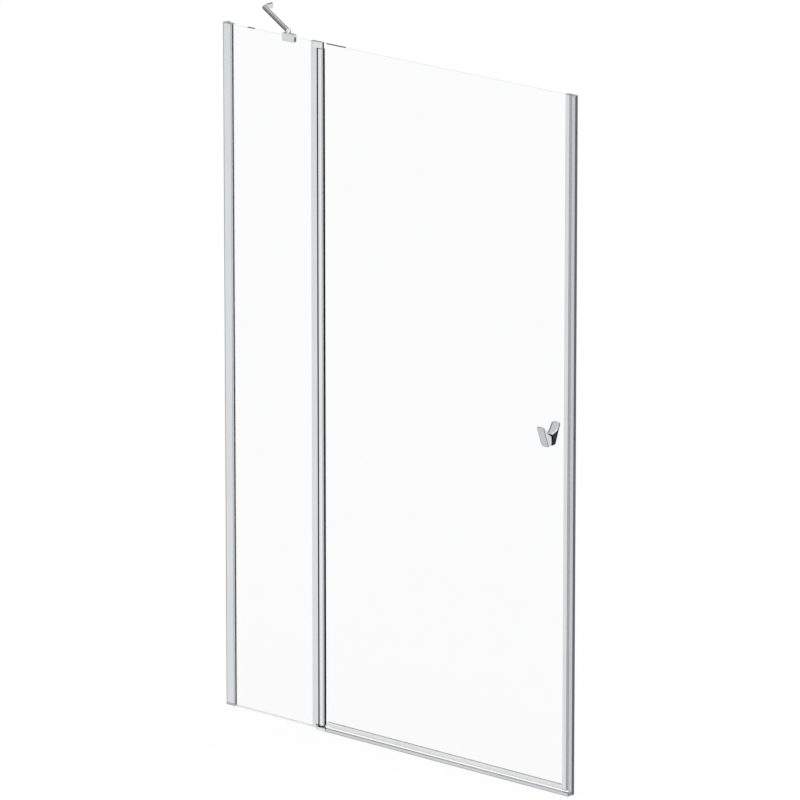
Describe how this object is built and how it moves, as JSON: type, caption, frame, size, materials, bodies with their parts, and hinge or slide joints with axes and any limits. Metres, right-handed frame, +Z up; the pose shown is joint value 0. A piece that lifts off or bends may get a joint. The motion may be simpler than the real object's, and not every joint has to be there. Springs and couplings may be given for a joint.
{
  "type": "shower door",
  "caption": "Inline shower door: narrow fixed glass, pivoting glass leaf on a round stile, slim wall channels, low threshold, wall stay bar and a flared pull handle",
  "frame": {"origin": "on the floor, mid opening, in the middle of the glass thickness", "axes": "+X along the opening from the fixed panel to the closing side, +Y from outside to inside the shower, +Z up"},
  "size_m": [1.2, 0.2313, 1.9165],
  "materials": {
    "anodised": "satin bright anodised extrusion",
    "chrome": "polished chrome plate",
    "satin_metal": "satin plate on a casting",
    "clear_glass": "clear toughened float glass, polished edges",
    "clear_seal": "clear flexible vinyl",
    "grey_seal": "smooth mid-grey vinyl",
    "black_rubber": "matt black rubber",
    "black_plastic": "moulded acetal",
    "white_plastic": "moulded acetal",
    "pale_plastic": "metallised grey moulding",
    "stainless": "turned stainless steel"
  },
  "bodies": {
    "frame": {"wall_channel_left": "anodised", "glazing_profile_left": "anodised", "glazing_gasket_left": "clear_seal", "adjusting_screws": "stainless", "screw_covers": "pale_plastic", "top_cap_left": "pale_plastic", "bottom_cap_left": "pale_plastic", "fixed_glass": "clear_glass", "fixed_glass_strip": "black_rubber", "sill_strip": "clear_seal", "post_pad": "black_rubber", "hinge_post": "anodised", "post_gasket": "clear_seal", "post_top_cap": "pale_plastic", "post_wiper": "black_rubber", "top_pivot_block": "chrome", "bottom_pivot_block": "chrome", "block_screws": "stainless", "top_pivot_pin": "stainless", "bottom_pivot_pin": "stainless", "pivot_washers": "black_plastic", "threshold_rail": "anodised", "rail_end_cap": "pale_plastic", "wall_channel_right": "anodised", "strike_seal": "grey_seal", "strike_magnet": "black_rubber", "top_cap_right": "pale_plastic", "bottom_cap_right": "pale_plastic", "clamp_body": "satin_metal", "clamp_lining": "black_rubber", "clamp_grub_screws": "stainless", "stay_bar": "chrome"},
    "door": {"pivot_stile": "chrome", "stile_gasket": "black_rubber", "stile_plug_bottom": "black_plastic", "stile_plug_top": "black_plastic", "bottom_bush": "white_plastic", "top_bush": "white_plastic", "door_glass": "clear_glass", "closing_profile": "anodised", "closing_gasket": "clear_seal", "closing_caps": "pale_plastic", "magnet_seal": "grey_seal", "door_magnet": "black_rubber", "door_bottom_seal": "clear_seal", "glass_top_strip": "black_rubber", "handle_outer": "chrome", "handle_inner": "chrome", "handle_pad_outer": "clear_seal", "handle_pad_inner": "black_rubber", "handle_stud": "stainless", "handle_sleeve": "white_plastic"}
  },
  "joints": [
    {"name": "door_swing", "type": "hinge", "parent": "frame", "child": "door", "pos_m": [-0.2618, 0, 0.012], "axis": [0, 0, -1], "range_deg": [0, 100]}
  ]
}
